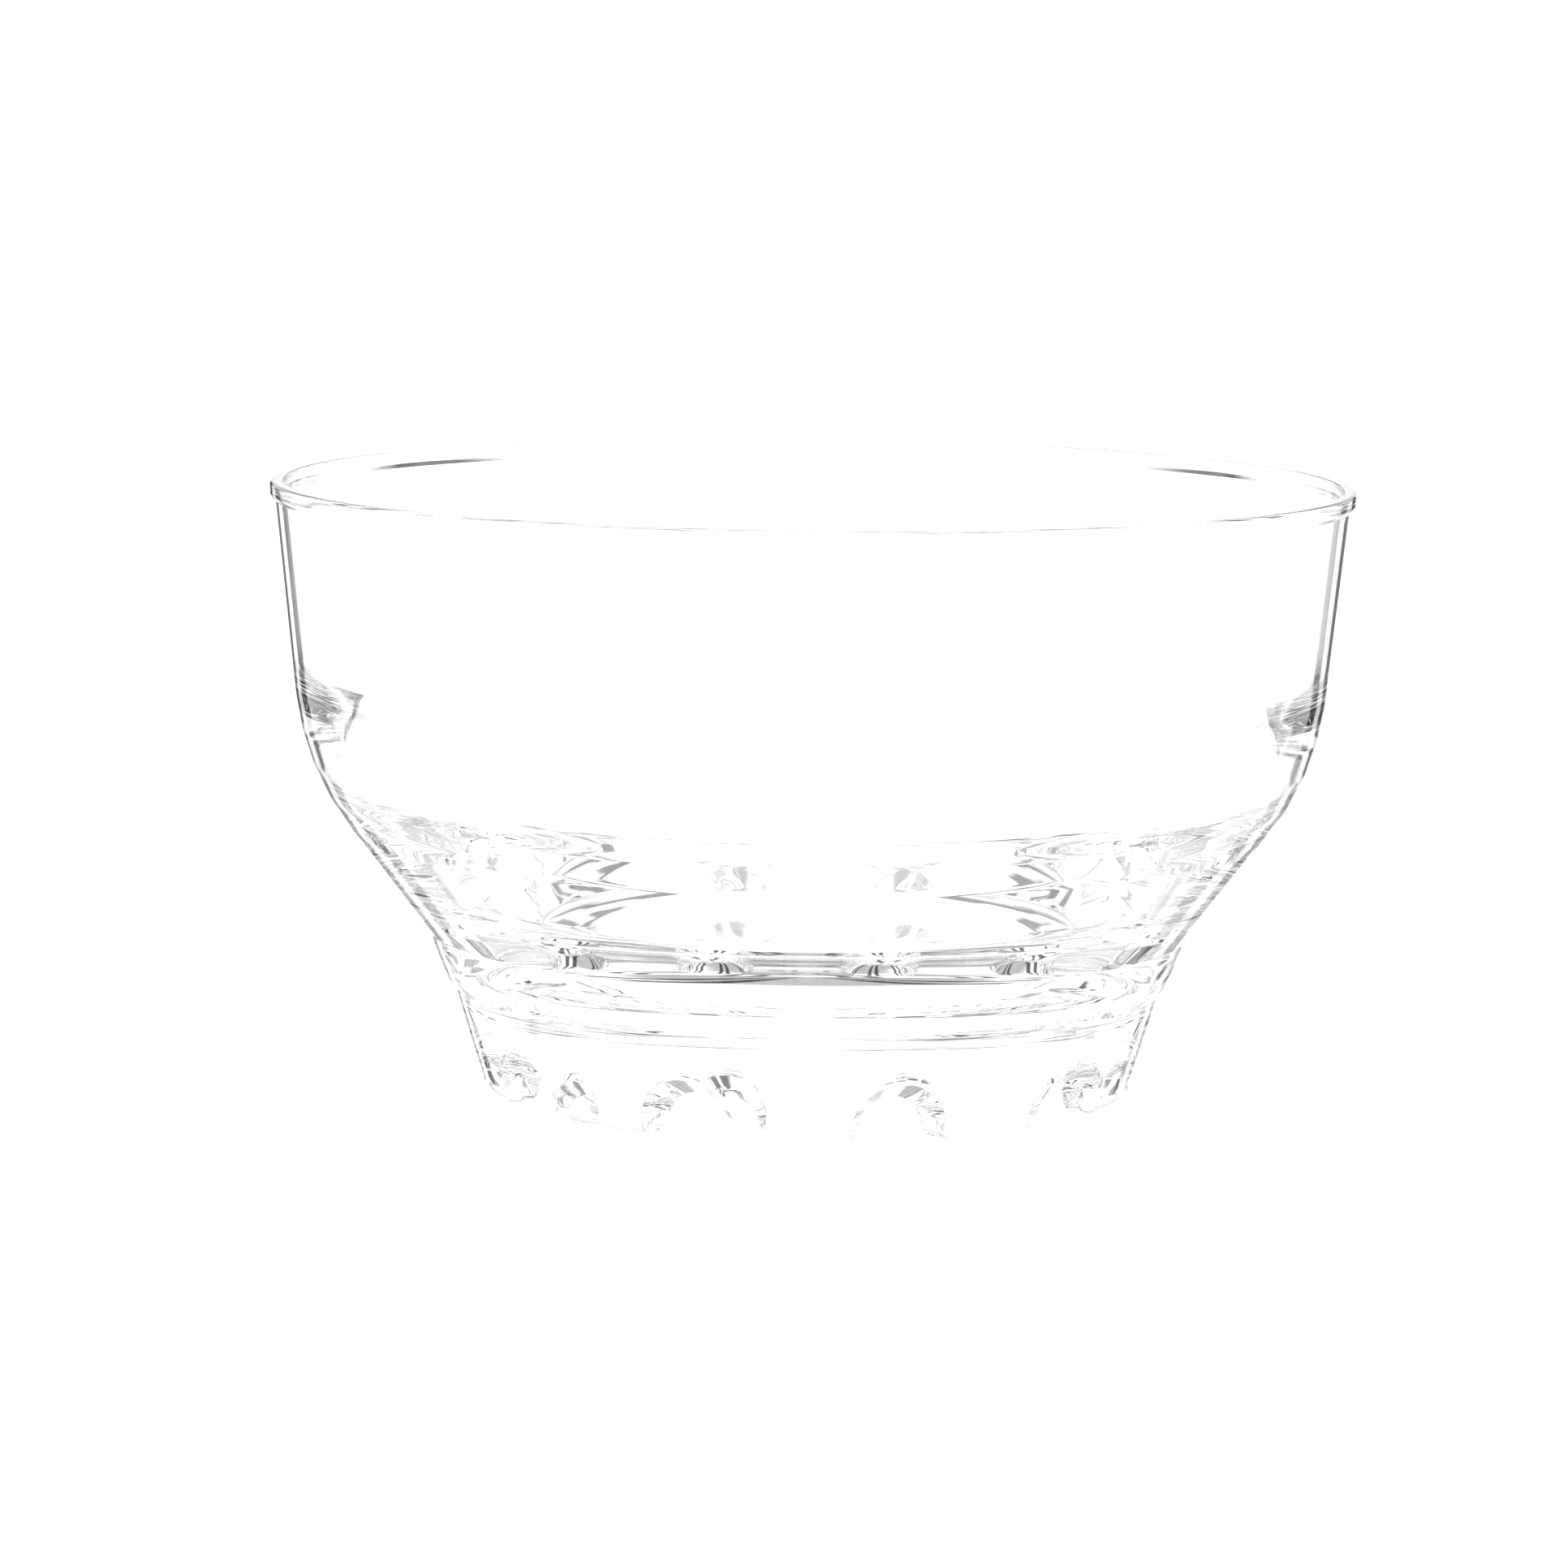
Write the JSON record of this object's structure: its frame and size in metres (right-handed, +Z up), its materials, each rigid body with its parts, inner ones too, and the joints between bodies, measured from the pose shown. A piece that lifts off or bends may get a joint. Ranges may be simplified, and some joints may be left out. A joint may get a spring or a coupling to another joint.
{
  "type": "punch bowl",
  "caption": "Clear pressed-glass punch bowl with a beaded rim, a thin flared wall that thickens to a waist, a base band and a ring of ten scalloped feet.",
  "frame": {"origin": "centre of the circle that the feet stand on, on the surface under them", "axes": "+Z up through the middle of the bowl; -Y is the front, where one foot is centred; +X to the right"},
  "size_m": [0.2692, 0.2692, 0.1514],
  "materials": {
    "clear_glass": "clear, fire-polished"
  },
  "bodies": {
    "root": {"bowl": "clear_glass"}
  },
  "joints": []
}
